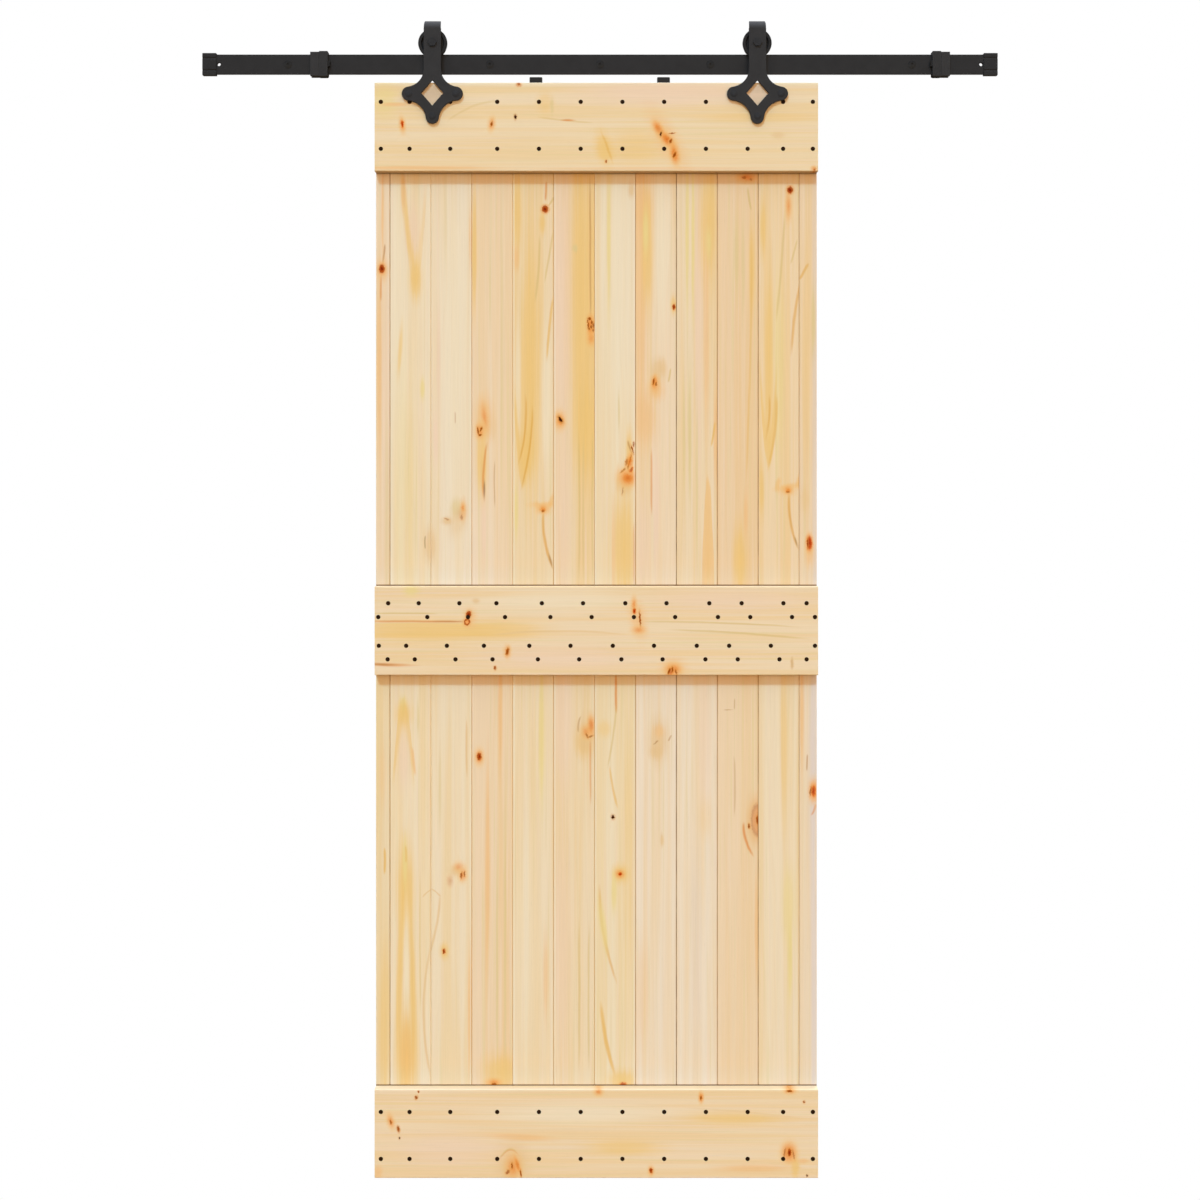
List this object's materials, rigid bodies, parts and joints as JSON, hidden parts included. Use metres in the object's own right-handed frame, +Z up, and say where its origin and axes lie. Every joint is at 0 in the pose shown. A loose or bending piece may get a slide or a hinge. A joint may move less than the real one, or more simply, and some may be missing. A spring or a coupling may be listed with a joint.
{
  "type": "sliding barn door",
  "caption": "Sliding barn door: a boarded pine leaf with front battens, hung by bent-strap roller hangers from a flat black steel wall rail with stops and end caps.",
  "frame": {"origin": "on the axis of the middle wall bolt, in the wall plane, which is the plane of the rail spacers' back ends", "axes": "+Z up, +X to the right seen from the front, +Y into the wall, so the front faces -Y"},
  "size_m": [1.5292, 0.0778, 2.2205],
  "materials": {
    "pine": "bare sanded knotty pine",
    "black_screw": "black phosphate",
    "black_steel": "satin black powder coat",
    "zinc_steel": "zinc plated",
    "bearing_steel": "ground",
    "black_nylon": "matt",
    "black_rubber": "matt"
  },
  "bodies": {
    "rail": {"rail_bar": "black_steel", "end_cap_left": "black_rubber", "end_cap_right": "black_rubber", "stop_clamp_left": "black_steel", "stop_clamp_right": "black_steel", "stop_bumper_left": "black_rubber", "stop_bumper_right": "black_rubber", "stop_screws": "black_screw", "wall_spacer_1": "black_steel", "wall_spacer_2": "black_steel", "wall_spacer_3": "black_steel", "wall_spacer_4": "black_steel", "wall_spacer_5": "black_steel", "wall_bolts": "black_steel"},
    "leaf": {"board_01": "pine", "board_02": "pine", "board_03": "pine", "board_04": "pine", "board_05": "pine", "board_06": "pine", "board_07": "pine", "board_08": "pine", "board_09": "pine", "board_10": "pine", "board_11": "pine", "board_12": "pine", "top_batten": "pine", "middle_batten": "pine", "bottom_batten": "pine", "top_batten_screws": "black_screw", "middle_batten_screws": "black_screw", "bottom_batten_screws": "black_screw", "hanger_strap_left": "black_steel", "hanger_strap_right": "black_steel", "hanger_bolts": "black_steel", "hanger_washers": "zinc_steel", "hanger_nuts": "zinc_steel", "axle_bolts": "black_steel", "axle_spacers": "zinc_steel", "axle_nuts": "black_steel", "bearing_inner_left": "bearing_steel", "bearing_inner_right": "bearing_steel", "anti_jump_disc_left": "black_nylon", "anti_jump_disc_right": "black_nylon", "anti_jump_screws": "black_screw"},
    "wheel_left": {"wheel_left": "black_nylon", "bearing_outer_left": "bearing_steel", "bearing_balls_left": "bearing_steel"},
    "wheel_right": {"wheel_right": "black_nylon", "bearing_outer_right": "bearing_steel", "bearing_balls_right": "bearing_steel"}
  },
  "joints": [
    {"name": "leaf_slide", "type": "slide", "parent": "rail", "child": "leaf", "axis": [1, 0, 0], "range_m": [-0.176, 0.311]},
    {"name": "wheel_left_spin", "type": "hinge", "parent": "leaf", "child": "wheel_left", "pos_m": [-0.321, -0.033, 0.039], "axis": [0, 1, 0], "range_deg": [-520, 915]},
    {"name": "wheel_right_spin", "type": "hinge", "parent": "leaf", "child": "wheel_right", "pos_m": [0.3015, -0.033, 0.039], "axis": [0, 1, 0], "range_deg": [-520, 915]}
  ],
  "couplings": [
    {"joint": "wheel_left_spin", "follows": "leaf_slide", "rad_per_m": 50.76},
    {"joint": "wheel_right_spin", "follows": "leaf_slide", "rad_per_m": 50.76}
  ]
}
